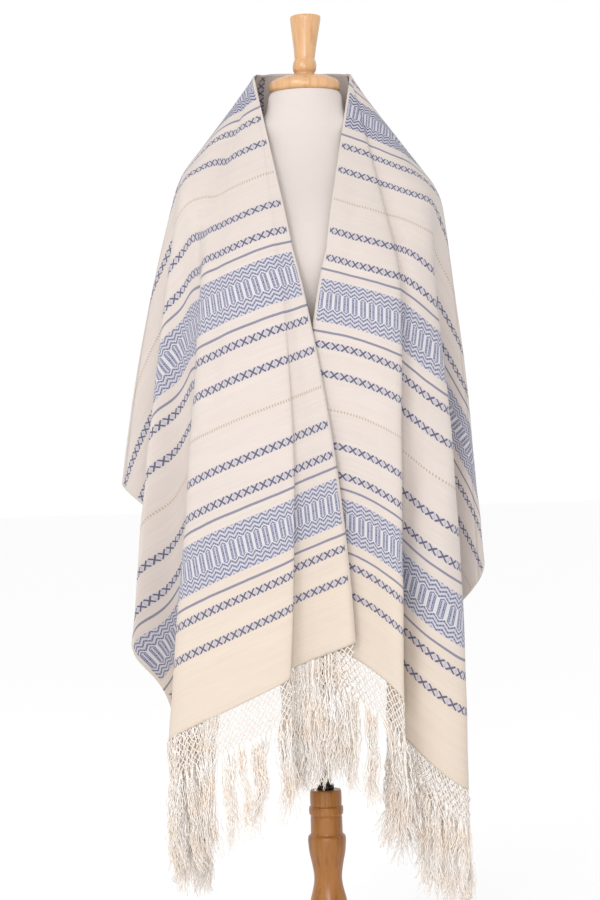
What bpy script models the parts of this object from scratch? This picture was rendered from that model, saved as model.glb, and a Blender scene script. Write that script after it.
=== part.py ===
"""A rebozo shawl draped over a limbless dress form on a turned wooden stand.

Metres, Z up, the shawl's open front towards -Y.  The origin is the centre of the
base's underside.  The shawl hangs over the shoulders of the form, so every stretch
of it is worked out from the folds that run down it: each fold leaves the neck,
turns over the shoulder or the bust at its bend and then hangs to its hem.
"""

import math
from collections import namedtuple

import bmesh
import bpy
import numpy as np

MM = 0.001

# The shawl's cloth and fringe
CLOTH_THICK = 0.0018
SEAM_GAP = 0.0003
ROWS_DOWN = 26
FINE_STEPS = 6
KEPT_STEP = 2
SOFTENING_PASSES = 3
NET_DROP = 0.060
NET_ROWS = 3
STRANDS_EACH_END = 44
STRAND_SHARE = 0.45
STRAND_DROP = 0.165
STRAND_DROP_SPREAD = 0.016
STRAND_SWAY = 0.0016
STRAND_BULGE = 0.0018
STRAND_LEVELS = 3

# The dress form and its stand
TORSO_SIDES = 28
TURNED_SIDES = 32
NECK_CAP_RADIUS = 0.0585
NECK_CAP_BOTTOM = 1.4930
FINIAL_LEAN = 0.045
ROD_RADIUS = 0.0095
COLLAR_RADIUS = 0.0140
COLLAR_HEIGHT = 0.0080
POST_TOP = 0.3504
BASE_RADIUS = 0.180
BASE_HEIGHT = 0.034
TORSO_BOTTOM = 0.760

# One row for each fold of the shawl, from the front edge round to the centre back.
# neck, bend and hem are (x, y, z) in millimetres; round is the length over which the bend turns;
# bow is how far the hanging stretch bellies out in x; a fold that is tucked lies
# behind the named fold from that share of its length down.
Fold = namedtuple("Fold", "name neck bend hem round bow tucked_behind tucked_from", defaults=(0, None, 0.0))

LEFT_FOLDS = [
    Fold("edge", (-83, 10, 1522), (-27, -168, 1229), (53, -170, 604), 90, 14),
    Fold("strip_valley", (-83, 12, 1522), (-49, -172, 1224), (-66, -166, 559), 90, 0, "main_ridge", 0.42),
    Fold("main_ridge", (-83, 14, 1522), (-63, -174, 1220), (-48, -197, 554), 90, 15),
    Fold("main_mid", (-83, 16, 1524), (-127, -160, 1196), (-149, -190, 506), 90, 5),
    Fold("a_ridge", (-83, 20, 1525), (-168, -130, 1216), (-251, -155, 455), 80),
    Fold("ab_valley", (-83, 24, 1526), (-173, -112, 1246), (-190, -70, 419), 60),
    Fold("b_corner", (-83, 28, 1528), (-183, -95, 1288), (-221, -10, 393), 50),
    Fold("b_mid", (-83, 32, 1529), (-195, -80, 1317), (-257, -15, 523), 50),
    Fold("b_ridge", (-82, 36, 1529), (-205, -60, 1339), (-312, -40, 607), 25, -9),
    Fold("bc_valley", (-80, 42, 1532), (-210, -20, 1351), (-204, 30, 731), 20),
    Fold("c_side", (-75, 52, 1534), (-213, 20, 1359), (-329, 60, 860), 20, -12),
    Fold("back_1", (-67, 64, 1535), (-193, 70, 1361), (-269, 140, 850), 50),
    Fold("back_valley", (-54, 78, 1539), (-143, 105, 1374), (-188, 120, 852), 60),
    Fold("back_2", (-32, 90, 1541), (-76, 128, 1389), (-113, 185, 859), 60),
    Fold("centre", (2, 96, 1541), (-2, 135, 1394), (-18, 160, 867), 60),
]

RIGHT_FOLDS = [
    Fold("edge", (75, 10, 1520), (23, -167, 1227), (-11, -148, 601), 90, -25),
    Fold("front", (75, 13, 1521), (69, -172, 1199), (56, -154, 576), 90),
    Fold("a_ridge", (75, 18, 1523), (138, -161, 1177), (129, -182, 511), 80),
    Fold("ab_valley", (75, 22, 1524), (144, -138, 1179), (96, -105, 487), 80),
    Fold("b_mid", (76, 26, 1525), (163, -128, 1216), (172, -150, 402), 60, 8),
    Fold("b_ridge", (76, 32, 1527), (186, -102, 1265), (230, -120, 363), 50, 17),
    Fold("c_corner", (76, 38, 1528), (203, -70, 1294), (126, 0, 469), 40),
    Fold("bc_valley", (74, 44, 1529), (211, -30, 1311), (175, 80, 583), 40),
    Fold("c_side", (71, 52, 1531), (219, 10, 1322), (267, 30, 684), 30, 7),
    Fold("back_1", (67, 60, 1532), (210, 50, 1334), (266, 110, 747), 50),
    Fold("back_valley_1", (60, 68, 1534), (173, 85, 1352), (181, 85, 798), 50),
    Fold("back_2", (52, 77, 1536), (137, 108, 1365), (179, 175, 825), 60),
    Fold("back_valley_2", (40, 85, 1538), (94, 124, 1376), (92, 125, 845), 60),
    Fold("back_3", (24, 92, 1539), (43, 133, 1387), (51, 190, 857), 60),
]

# The fold where each front ends in a corner of the cloth, and where the back begins
LEFT_CORNER = "b_corner"
RIGHT_CORNER = "c_corner"
SIDE_FOLD = "c_side"

# One row for each level of the form: height, half width, front and back depth, squareness
Level = namedtuple("Level", "z half_width front back square")

TORSO_LEVELS = [
    Level(0.7600, 0.134, 0.094, 0.096, 2.3),
    Level(0.7640, 0.142, 0.100, 0.102, 2.3),
    Level(0.8400, 0.156, 0.112, 0.118, 2.3),
    Level(0.9200, 0.160, 0.114, 0.124, 2.3),
    Level(1.0000, 0.147, 0.108, 0.112, 2.3),
    Level(1.0800, 0.128, 0.121, 0.096, 2.2),
    Level(1.1400, 0.129, 0.144, 0.098, 2.2),
    Level(1.2000, 0.138, 0.150, 0.108, 2.2),
    Level(1.2450, 0.147, 0.138, 0.115, 2.2),
    Level(1.2900, 0.154, 0.115, 0.120, 2.2),
    Level(1.3300, 0.153, 0.090, 0.118, 2.2),
    Level(1.3700, 0.128, 0.071, 0.110, 2.1),
    Level(1.4050, 0.097, 0.058, 0.098, 2.0),
    Level(1.4350, 0.0851, 0.0560, 0.083, 2.0),
    Level(1.4600, 0.066, 0.053, 0.065, 2.0),
    Level(1.4924, 0.0590, 0.0580, 0.0600, 2.0),
]

# Turned outlines, one row for each ring: radius, height
NECK_CAP_OUTLINE = [
    (0.0570, NECK_CAP_BOTTOM),
    (NECK_CAP_RADIUS, NECK_CAP_BOTTOM + 0.0020),
    (NECK_CAP_RADIUS, NECK_CAP_BOTTOM + 0.0120),
    (0.0560, NECK_CAP_BOTTOM + 0.0170),
    (0.0480, NECK_CAP_BOTTOM + 0.0220),
    (0.0350, NECK_CAP_BOTTOM + 0.0262),
    (0.0205, NECK_CAP_BOTTOM + 0.0290),
]

FINIAL_OUTLINE = [
    (0.0160, 1.5223),
    (0.0188, 1.5260),
    (0.0197, 1.5330),
    (0.0188, 1.5400),
    (0.0158, 1.5460),
    (0.0150, 1.5510),
    (0.0156, 1.5600),
    (0.0182, 1.5760),
    (0.0214, 1.5920),
    (0.0240, 1.6060),
    (0.0250, 1.6140),
    (0.0242, 1.6185),
    (0.0200, 1.6212),
    (0.0100, 1.6222),
]

POST_OUTLINE = [
    (0.0460, BASE_HEIGHT + SEAM_GAP),
    (0.0460, 0.0430),
    (0.0340, 0.0580),
    (0.0310, 0.0760),
    (0.0310, 0.1560),
    (0.0302, 0.1700),
    (0.0262, 0.1840),
    (0.0218, 0.2010),
    (0.0222, 0.2160),
    (0.0262, 0.2380),
    (0.0300, 0.2540),
    (0.0302, 0.2620),
    (0.0272, 0.2760),
    (0.0263, 0.2840),
    (0.0263, 0.3130),
    (0.0282, 0.3170),
    (0.0286, 0.3220),
    (0.0282, 0.3270),
    (0.0262, 0.3310),
    (0.0262, 0.3470),
    (0.0246, POST_TOP),
]

BASE_OUTLINE = [
    (BASE_RADIUS - 0.006, 0.0),
    (BASE_RADIUS, 0.006),
    (BASE_RADIUS, 0.018),
    (BASE_RADIUS - 0.008, 0.026),
    (BASE_RADIUS - 0.030, 0.0315),
    (BASE_RADIUS - 0.060, BASE_HEIGHT),
]


def clear_scene():
    for thing in list(bpy.data.objects):
        bpy.data.objects.remove(thing, do_unlink=True)


def make_material(name, colour, roughness, metallic=0.0):
    material = bpy.data.materials.new(name)
    material.use_nodes = True
    shader = material.node_tree.nodes["Principled BSDF"]
    shader.inputs["Base Color"].default_value = (*colour, 1.0)
    shader.inputs["Roughness"].default_value = roughness
    shader.inputs["Metallic"].default_value = metallic
    return material


def add_object(name, shape, material, smooth_angle=None):
    mesh = bpy.data.meshes.new(name)
    shape.to_mesh(mesh)
    shape.free()
    mesh.materials.append(material)
    if smooth_angle is not None:
        mesh.shade_smooth()
        mesh.set_sharp_from_angle(angle=math.radians(smooth_angle))
    made = bpy.data.objects.new(name, mesh)
    bpy.context.scene.collection.objects.link(made)
    return made


def fold_points(fold, shares):
    """Points down one fold, at these shares of its length."""
    neck, bend, hem = (MM * np.array(point) for point in (fold.neck, fold.bend, fold.hem))
    over = np.linalg.norm(bend - neck)
    down = np.linalg.norm(hem - bend)
    going_over = (bend - neck) / over
    going_down = (hem - bend) / down
    reach = min(MM * fold.round, 0.9 * over, 0.9 * down)
    points = []
    for travelled in shares * (over + down):
        into_turn = travelled - (over - reach)
        if into_turn <= 0.0:
            point = neck + going_over * travelled
        elif into_turn >= 2.0 * reach:
            point = bend + going_down * (travelled - over)
        else:
            turned = into_turn / (2.0 * reach)
            start = bend - going_over * reach
            end = bend + going_down * reach
            point = (1 - turned) ** 2 * start + 2 * turned * (1 - turned) * bend + turned**2 * end
        hung = min(max((travelled - over) / down, 0.0), 1.0)
        belly = np.array((MM * fold.bow * 4.0 * hung * (1.0 - hung), 0.0, 0.0))
        points.append(point + belly)
    return np.array(points)


def lines_of(folds, shares):
    """The folds' lines, with each tucked one carried behind its ridge below the tuck's top."""
    plain = {fold.name: fold_points(fold, shares) for fold in folds}
    named = {fold.name: fold for fold in folds}
    lines = []
    for fold in folds:
        line = plain[fold.name]
        if fold.tucked_behind:
            ridge = named[fold.tucked_behind]
            apart_at_bend = MM * (np.array(fold.bend) - np.array(ridge.bend))
            apart_at_hem = MM * (np.array(fold.hem) - np.array(ridge.hem))
            parted = np.clip(shares / bend_share(ridge), 0.0, 1.0)[:, None]
            tucked = np.clip((shares - fold.tucked_from) / (1.0 - fold.tucked_from), 0.0, 1.0)
            tucked = (tucked**1.2)[:, None]
            beside = parted * (1.0 - tucked) * apart_at_bend + tucked * apart_at_hem
            line = plain[fold.tucked_behind] + beside
        lines.append(line)
    return np.array(lines)


def bend_share(fold):
    """The share of a fold's length that lies above its bend."""
    over = math.dist(fold.neck, fold.bend)
    return over / (over + math.dist(fold.bend, fold.hem))


def between_lines(lines, steps):
    """A smooth sheet through the lines, with this many steps from each to the next."""
    first = 2.0 * lines[0] - lines[1]
    last = 2.0 * lines[-1] - lines[-2]
    held = np.concatenate([[first], lines, [last]])
    sheet = []
    for before, here, after, beyond in zip(held, held[1:], held[2:], held[3:]):
        for step in range(steps):
            along = step / steps
            sheet.append(
                0.5
                * (
                    2.0 * here
                    + (after - before) * along
                    + (2.0 * before - 5.0 * here + 4.0 * after - beyond) * along**2
                    + (3.0 * here - before - 3.0 * after + beyond) * along**3
                )
            )
    sheet.append(lines[-1])
    return np.array(sheet)


def soften(sheet, passes):
    """Rounds the folds, keeping both edges of the sheet."""
    sheet = sheet.copy()
    for _ in range(passes):
        sheet[1:-1] = 0.25 * sheet[:-2] + 0.5 * sheet[1:-1] + 0.25 * sheet[2:]
    return sheet


def shawl_sheet():
    """The whole cloth's middle surface: columns round the body, rows down it."""
    shares = np.linspace(0.0, 1.0, ROWS_DOWN)
    lines = np.concatenate([lines_of(LEFT_FOLDS, shares), lines_of(RIGHT_FOLDS, shares)[::-1]])
    fine = soften(between_lines(lines, FINE_STEPS), SOFTENING_PASSES)
    return fine[::KEPT_STEP], fine


def sheet_normals(sheet):
    across = np.gradient(sheet, axis=0)
    down = np.gradient(sheet, axis=1)
    normals = np.cross(across, down)
    normals /= np.linalg.norm(normals, axis=2)[..., None]
    return normals


def wall(shape, middle, normals, thick):
    """Fills a bmesh with a closed wall round a sheet; returns its outer and inner points."""
    columns, rows = middle.shape[:2]
    sides = []
    for offset in (0.5 * thick, -0.5 * thick):
        points = middle + normals * offset
        sides.append([[shape.verts.new(points[c, r]) for r in range(rows)] for c in range(columns)])
    outer, inner = sides
    for c in range(columns - 1):
        for r in range(rows - 1):
            shape.faces.new((outer[c][r], outer[c + 1][r], outer[c + 1][r + 1], outer[c][r + 1]))
            shape.faces.new((inner[c][r], inner[c][r + 1], inner[c + 1][r + 1], inner[c + 1][r]))
        shape.faces.new((outer[c][0], inner[c][0], inner[c + 1][0], outer[c + 1][0]))
    for r in range(rows - 1):
        shape.faces.new((outer[0][r], outer[0][r + 1], inner[0][r + 1], inner[0][r]))
        shape.faces.new((outer[-1][r], inner[-1][r], inner[-1][r + 1], outer[-1][r + 1]))
    return outer, inner


def close_bottom(shape, outer, inner, columns):
    for c in columns:
        shape.faces.new((outer[c][-1], outer[c + 1][-1], inner[c + 1][-1], inner[c][-1]))


def finish_shape(shape):
    bmesh.ops.recalc_face_normals(shape, faces=shape.faces)
    bmesh.ops.triangulate(shape, faces=[face for face in shape.faces if len(face.verts) > 3])
    return shape


def draw_in(middle, end, gap):
    """Moves one end column of a piece back along the sheet, to leave half of a seam's gap."""
    nearer = middle[1] if end == 0 else middle[-2]
    rim = middle[end]
    towards = nearer - rim
    middle[end] = rim + towards * (gap / np.linalg.norm(towards, axis=1))[:, None]


def add_cloth(name, sheet, normals, first, last, material):
    middle = sheet[first : last + 1].copy()
    if first > 0:
        draw_in(middle, 0, 0.5 * SEAM_GAP)
    if last < len(sheet) - 1:
        draw_in(middle, -1, 0.5 * SEAM_GAP)
    shape = bmesh.new()
    outer, inner = wall(shape, middle, normals[first : last + 1], CLOTH_THICK)
    close_bottom(shape, outer, inner, range(last - first))
    return add_object(name, finish_shape(shape), material, smooth_angle=50)


def along_edge(points, shares):
    """Points at these shares of the length of a line of points."""
    steps = np.linalg.norm(np.diff(points, axis=0), axis=1)
    travelled = np.concatenate([[0.0], np.cumsum(steps)])
    wanted = shares * travelled[-1]
    return np.stack([np.interp(wanted, travelled, points[:, axis]) for axis in range(3)], axis=1)


def strand_drop(number):
    """Each lock's length, a little uneven."""
    return STRAND_DROP + STRAND_DROP_SPREAD * math.sin(2.4 * number) * math.sin(0.7 * number + 1.0)


def add_fringe(name, edge, material):
    """The net band under one end of the cloth, and the locks of yarn that hang from it."""
    bounds = []
    for number in range(STRANDS_EACH_END):
        bounds.append(number / STRANDS_EACH_END)
        bounds.append((number + STRAND_SHARE) / STRANDS_EACH_END)
    shares = np.array(bounds) / bounds[-1]
    top = along_edge(edge, shares) - np.array((0.0, 0.0, SEAM_GAP + 0.7 * CLOTH_THICK))
    drops = np.linspace(0.0, NET_DROP, NET_ROWS)
    middle = top[:, None, :] - drops[None, :, None] * np.array((0.0, 0.0, 1.0))
    shape = bmesh.new()
    outer, inner = wall(shape, middle, sheet_normals(middle), CLOTH_THICK)
    gaps = range(1, len(shares) - 1, 2)
    close_bottom(shape, outer, inner, gaps)
    for number, column in enumerate(range(0, len(shares) - 1, 2)):
        ring = [outer[column][-1], outer[column + 1][-1], inner[column + 1][-1], inner[column][-1]]
        ring = hang_lock(shape, ring, number)
        shape.faces.new(ring)
    return add_object(name, finish_shape(shape), material)


def hang_lock(shape, ring, number):
    """Carries one four-sided lock down from the net band, swelling and then thinning."""
    corners = np.array([vertex.co for vertex in ring])
    centre = corners.mean(axis=0)
    arms = corners - centre
    outward = arms[0] + arms[1]
    outward /= np.linalg.norm(outward)
    swell = np.array([outward, outward, -outward, -outward]) * STRAND_BULGE
    for level in range(1, STRAND_LEVELS + 1):
        share = level / STRAND_LEVELS
        sway = STRAND_SWAY * math.sin(1.9 * number + 2.1 * level)
        side = np.array((sway, 0.6 * sway, 0.0))
        thin = 1.0 - 0.55 * share**2
        full = math.sin(math.pi * (0.15 + 0.7 * share))
        middle = centre + side - np.array((0.0, 0.0, share * strand_drop(number)))
        below = [shape.verts.new(middle + arm * thin + out * full) for arm, out in zip(arms, swell)]
        for here in range(4):
            after = (here + 1) % 4
            shape.faces.new((ring[here], ring[after], below[after], below[here]))
        ring = below
    return ring


def add_turned(name, outline, material, sides=TURNED_SIDES, lean=0.0, smooth_angle=35):
    """A piece turned on the upright axis, leaned over by a shear that keeps its ends level."""
    shape = bmesh.new()
    foot = outline[0][1]
    rings = []
    for radius, height in outline:
        shift = lean * (height - foot)
        ring = []
        for side in range(sides):
            turn = 2.0 * math.pi * side / sides
            ring.append(shape.verts.new((shift + radius * math.cos(turn), radius * math.sin(turn), height)))
        rings.append(ring)
    join_rings(shape, rings)
    return add_object(name, finish_shape(shape), material, smooth_angle=smooth_angle)


def join_rings(shape, rings):
    sides = len(rings[0])
    for lower, upper in zip(rings, rings[1:]):
        for here in range(sides):
            after = (here + 1) % sides
            shape.faces.new((lower[here], lower[after], upper[after], upper[here]))
    shape.faces.new(rings[0][::-1])
    shape.faces.new(rings[-1])


def add_torso(material):
    """The padded body: rounded-square rings, deeper at the bust than at the back."""
    shape = bmesh.new()
    rings = []
    for level in TORSO_LEVELS:
        power = 2.0 / level.square
        ring = []
        for side in range(TORSO_SIDES):
            turn = 2.0 * math.pi * side / TORSO_SIDES
            across = math.copysign(abs(math.cos(turn)) ** power, math.cos(turn))
            deep = math.copysign(abs(math.sin(turn)) ** power, math.sin(turn))
            depth = level.back if deep > 0.0 else level.front
            ring.append(shape.verts.new((level.half_width * across, depth * deep, level.z)))
        rings.append(ring)
    join_rings(shape, rings)
    return add_object("dress_form_torso", finish_shape(shape), material, smooth_angle=60)


def add_rod(material):
    collar_foot = POST_TOP + SEAM_GAP
    collar_top = collar_foot + COLLAR_HEIGHT
    outline = [
        (COLLAR_RADIUS, collar_foot),
        (COLLAR_RADIUS, collar_top),
        (ROD_RADIUS, collar_top),
        (ROD_RADIUS, TORSO_BOTTOM - SEAM_GAP),
    ]
    return add_turned("rod", outline, material, sides=24)


def build():
    clear_scene()
    cotton = make_material("woven_cotton", (0.87, 0.80, 0.70), 0.85)
    yarn = make_material("cotton_yarn", (0.88, 0.80, 0.69), 0.90)
    linen = make_material("form_linen", (0.75, 0.69, 0.63), 0.90)
    pale_wood = make_material("pale_varnished_wood", (0.70, 0.41, 0.17), 0.35)
    post_wood = make_material("orange_varnished_wood", (0.50, 0.22, 0.07), 0.40)
    steel = make_material("dark_steel", (0.03, 0.028, 0.026), 0.45, 0.9)

    sheet, fine = shawl_sheet()
    normals = sheet_normals(sheet)
    per_fold = FINE_STEPS // KEPT_STEP
    names = [fold.name for fold in LEFT_FOLDS]
    right_names = [fold.name for fold in RIGHT_FOLDS]
    left_side = per_fold * names.index(SIDE_FOLD)
    last = len(sheet) - 1
    right_side = last - per_fold * right_names.index(SIDE_FOLD)
    add_cloth("shawl_left_front", sheet, normals, 0, left_side, cotton)
    add_cloth("shawl_back", sheet, normals, left_side, right_side, cotton)
    add_cloth("shawl_right_front", sheet, normals, right_side, last, cotton)

    left_end = sheet[: per_fold * names.index(LEFT_CORNER) + 1, -1]
    right_end = sheet[last - per_fold * right_names.index(RIGHT_CORNER) :, -1]
    add_fringe("fringe_left", left_end, yarn)
    add_fringe("fringe_right", right_end, yarn)

    add_torso(linen)
    add_turned("neck_cap", NECK_CAP_OUTLINE, pale_wood)
    add_turned("finial", FINIAL_OUTLINE, pale_wood, sides=24, lean=FINIAL_LEAN)
    add_rod(steel)
    add_turned("post", POST_OUTLINE, post_wood, sides=28)
    add_turned("base", BASE_OUTLINE, post_wood, sides=40)


build()
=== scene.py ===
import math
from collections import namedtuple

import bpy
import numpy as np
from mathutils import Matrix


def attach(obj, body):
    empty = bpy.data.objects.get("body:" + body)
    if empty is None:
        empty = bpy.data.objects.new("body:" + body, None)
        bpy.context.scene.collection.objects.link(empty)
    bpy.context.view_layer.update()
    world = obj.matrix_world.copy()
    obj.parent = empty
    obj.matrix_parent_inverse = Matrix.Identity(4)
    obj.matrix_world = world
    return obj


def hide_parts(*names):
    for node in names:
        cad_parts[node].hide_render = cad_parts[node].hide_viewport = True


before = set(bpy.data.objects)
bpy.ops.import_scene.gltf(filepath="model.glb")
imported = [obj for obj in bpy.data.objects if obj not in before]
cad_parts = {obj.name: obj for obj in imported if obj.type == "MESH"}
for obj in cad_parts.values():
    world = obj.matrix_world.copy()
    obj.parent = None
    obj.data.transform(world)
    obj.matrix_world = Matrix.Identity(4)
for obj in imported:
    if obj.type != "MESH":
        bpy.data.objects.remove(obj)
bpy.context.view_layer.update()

# A cotton rebozo shawl over a limbless dress form, in a plain studio.
#
# Metres, Z up, the open front towards -Y. The cloth is worked out from the folds that run
# down it, as in the solid model, on a finer grid. Each point also keeps its place in the
# flat cloth (u along it from its middle, v across it from the upper edge), and the woven
# bands are drawn in those flat measurements.

MM = 0.001

# The photograph's view: scale at the stand's axis, distance, level and roll of the camera
PHOTO_HEIGHT = 900
METRES_PER_PIXEL = 0.00164
CAMERA_DISTANCE = 3.6
CAMERA_X = -0.0254
CAMERA_Z = 0.908
CAMERA_ROLL = math.radians(1.7)

# The shawl
CLOTH_THICK = 0.0013
SEAM_GAP = 0.0003
HALF_LENGTH = 1.153
CLOTH_WIDTH = 0.66
ROWS_DOWN = 210
FINE_STEPS = 12
SOFTENING_PASSES = 12
WIDE_RIPPLE = 0.0012
FINE_RIPPLE = 0.0006
RIPPLES_FROM = 0.40
RIPPLES_FULL_AFTER = 0.30

# The woven repeat, in metres of flat cloth
REPEAT_HALF = 0.1845
FIRST_BAND = 0.2305
BAND_HALF = 0.0368
MOTIF_PITCH = 0.0134
CHEVRON_RISE = 0.0062
CHEVRON_STEP = 0.0072
THIN_LINE_AT = 0.0535
THIN_LINE_HALF = 0.0020
CROSS_ROWS_MIDDLE = 0.100
CROSS_ROWS_APART = 0.0245
PLAIN_SELVEDGE = 0.0042
THREAD_WANDER = 0.0012
WARP_STEP = 0.0011
WEFT_STEP = 0.0013

# The bands' figures. Along the cloth they are metres from the band's middle, and across it
# a share of the motif's pitch from the motif's middle.
CHEVRONS_FROM = 0.0195
CHEVRON_FILL = 0.46
HEXAGON_END, HEXAGON_HALF = 0.0170, 0.335
CORE_END, CORE_HALF = 0.0148, 0.240
RAIL_END, RAIL_AT, RAIL_HALF = 0.0138, 0.150, 0.058
RAIL_STITCH, RAIL_STITCH_FILL = 0.0025, 0.68
CHEVRON_STITCH, CHEVRON_STITCH_FILL = 0.0033, 0.62

# The rows of crosses, counted in stitches from a row's middle, and the eyelets
CROSS_STITCH_ALONG = 0.0026
CROSS_STITCH_ACROSS = 0.00225
CROSS_REACH = 2.45
CROSS_STROKE = 0.74
ACCENT_REACH = 2.0
CROSS_BREAK, CROSS_BREAK_FILL = 0.0021, 0.66
EYELET_HALF = 0.0021
EYELET_STEP, EYELET_FILL = 0.0043, 0.46
NO_EYELETS_BELOW = 0.07

# The knotted net and the free yarns under it
NET_DROP = 0.060
NET_ROWS = 10
NET_PITCH = 0.0094
NET_YARN = 0.00072
KNOT_SIZE = 0.0014
YARNS_EACH_KNOT = 9
YARN_RADIUS = 0.00070
NET_SIDES = 4
NET_UNEVEN = 0.0007
NET_WAVER = 0.0003
HEM_GAP = 0.0008
YARN_DROP = 0.162
YARN_POINTS = 26
YARN_SIDES = 3
YARN_TAPER = 0.35
YARN_REACH = 0.013  # how far a yarn strays towards the front or the back
YARN_SEED = 7

# Knots of the left net whose yarns hang evenly and close, and those whose yarns are doubled
CURTAIN = range(3, 13)
LINED = range(29, 52)
CURTAIN_YARNS, LINED_YARNS = 4, 2  # times as many yarns as elsewhere
CURTAIN_LEAN = 0.3
BEHIND_NET = 0.05

# Locks and their yarns, each drawn between two bounds, or spread by so much in x, y and z
LOCK_KNOTS = (2, 6)
LOCK_DROP = (0.88, 1.03)
CURTAIN_DROP = (0.80, 0.88)
LOCK_LEAN_X, LOCK_LEAN_Y = 0.008, 0.005
LOCK_SWAY = (0.003, 0.007)
SWAY_BENDS = (8.0, 14.0)
LOCK_PINCH = (0.25, 0.6)
LOCK_PULL = 0.6
STRAND_DROP = (0.78, 1.03)
STRAND_SPREAD = (0.0038, 0.0032, 0.0)
TIP_SPREAD = (0.0070, 0.0055, 0.0)
TIPS_FROM = 0.55
CRIMP = (0.0006, 0.0019)
CRIMP_BENDS = (30.0, 62.0)
YARN_THICKNESS = (0.8, 1.3)
ANY_TURN = (0.0, 6.28)

# The stand
TURNED_SIDES = 96
NECK_CAP_RADIUS = 0.0585
NECK_CAP_BOTTOM = 1.4930
FINIAL_LEAN = 0.045
ROD_RADIUS = 0.0095
COLLAR_RADIUS = 0.0140
COLLAR_HEIGHT = 0.0080
COLLAR_BEVEL = 0.0008
POST_TOP = 0.3504
BASE_RADIUS = 0.180
BASE_HEIGHT = 0.034
TORSO_BOTTOM = 0.760
TORSO_TOP = 1.4924
TORSO_SIDES = 160
TORSO_FOOT_HEIGHTS = (0.760, 0.7606, 0.7618, 0.7640)
TORSO_HEIGHTS_FROM = 0.768
TORSO_HEIGHTS = 120
RIM_FROM = 1.4864
RIM_DEPTH = 0.0060
RIM_ROUND = 0.0030
BACK_PANEL_SEAM = 0.62  # radians from the centre back
SEAM_DEPTH = 0.0011
SEAM_HALF = 0.035  # radians
SEAMS_END = 1.40
SEAMS_FADE = 0.08

# The studio
Lamp = namedtuple("Lamp", "name place aim size power")

LAMPS = [
    Lamp("key_light", (-1.6, -3.1, 2.4), (0.0, 0.0, 1.0), 1.2, 37.0),
    Lamp("front_light", (-0.1, -3.5, 1.5), (0.0, 0.0, 1.2), 0.9, 32.0),
]
FLOOR_REACH = 30.0

# A fold's neck, bend and hem are (x, y, z) in millimetres, and so are its round and bow
Fold = namedtuple("Fold", "name neck bend hem round bow tucked_behind tucked_from", defaults=(0, None, 0.0))

# Where each fold lies in the flat cloth: u at the neck, u and v at the bend and at the hem.
# On the right u is kept as a negative number, so that it runs on through the centre back.
Cut = namedtuple("Cut", "neck_u bend_u bend_v hem_u hem_v")

LEFT_FOLDS = [
    Fold("edge", (-83, 10, 1522), (-27, -168, 1229), (53, -170, 604), 90, 14),
    Fold("strip_valley", (-83, 12, 1522), (-49, -172, 1224), (-66, -166, 559), 90, 0, "main_ridge", 0.42),
    Fold("main_ridge", (-83, 14, 1522), (-63, -174, 1220), (-48, -197, 554), 90, 15),
    Fold("main_mid", (-83, 16, 1524), (-127, -160, 1196), (-149, -190, 506), 90, 5),
    Fold("a_ridge", (-83, 20, 1525), (-168, -130, 1216), (-251, -155, 455), 80),
    Fold("ab_valley", (-83, 24, 1526), (-173, -112, 1246), (-190, -70, 419), 60),
    Fold("b_corner", (-83, 28, 1528), (-183, -95, 1288), (-221, -10, 393), 50),
    Fold("b_mid", (-83, 32, 1529), (-195, -80, 1317), (-257, -15, 523), 50),
    Fold("b_ridge", (-82, 36, 1529), (-205, -60, 1339), (-312, -40, 607), 25, -9),
    Fold("bc_valley", (-80, 42, 1532), (-210, -20, 1351), (-204, 30, 731), 20),
    Fold("c_side", (-75, 52, 1534), (-213, 20, 1359), (-329, 60, 860), 20, -12),
    Fold("back_1", (-67, 64, 1535), (-193, 70, 1361), (-269, 140, 850), 50),
    Fold("back_valley", (-54, 78, 1539), (-143, 105, 1374), (-188, 120, 852), 60),
    Fold("back_2", (-32, 90, 1541), (-76, 128, 1389), (-113, 185, 859), 60),
    Fold("centre", (2, 96, 1541), (-2, 135, 1394), (-18, 160, 867), 60),
]

LEFT_CUTS = [
    Cut(0.180, 0.510, 0.000, 1.153, 0.000),  # edge
    Cut(0.178, 0.511, 0.026, 1.153, 0.125),  # strip_valley
    Cut(0.177, 0.512, 0.041, 1.153, 0.148),  # main_ridge
    Cut(0.173, 0.515, 0.105, 1.153, 0.270),  # main_mid
    Cut(0.168, 0.478, 0.165, 1.153, 0.395),  # a_ridge
    Cut(0.162, 0.440, 0.185, 1.153, 0.520),  # ab_valley
    Cut(0.155, 0.400, 0.205, 1.153, 0.660),  # b_corner
    Cut(0.149, 0.365, 0.215, 0.975, 0.660),  # b_mid
    Cut(0.142, 0.325, 0.220, 0.869, 0.660),  # b_ridge
    Cut(0.134, 0.280, 0.215, 0.640, 0.660),  # bc_valley
    Cut(0.123, 0.240, 0.205, 0.422, 0.660),  # c_side
    Cut(0.108, 0.203, 0.190, 0.328, 0.660),  # back_1
    Cut(0.091, 0.166, 0.180, 0.251, 0.660),  # back_valley
    Cut(0.069, 0.104, 0.170, 0.144, 0.660),  # back_2
    Cut(0.033, 0.033, 0.165, 0.033, 0.660),  # centre
]

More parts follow.
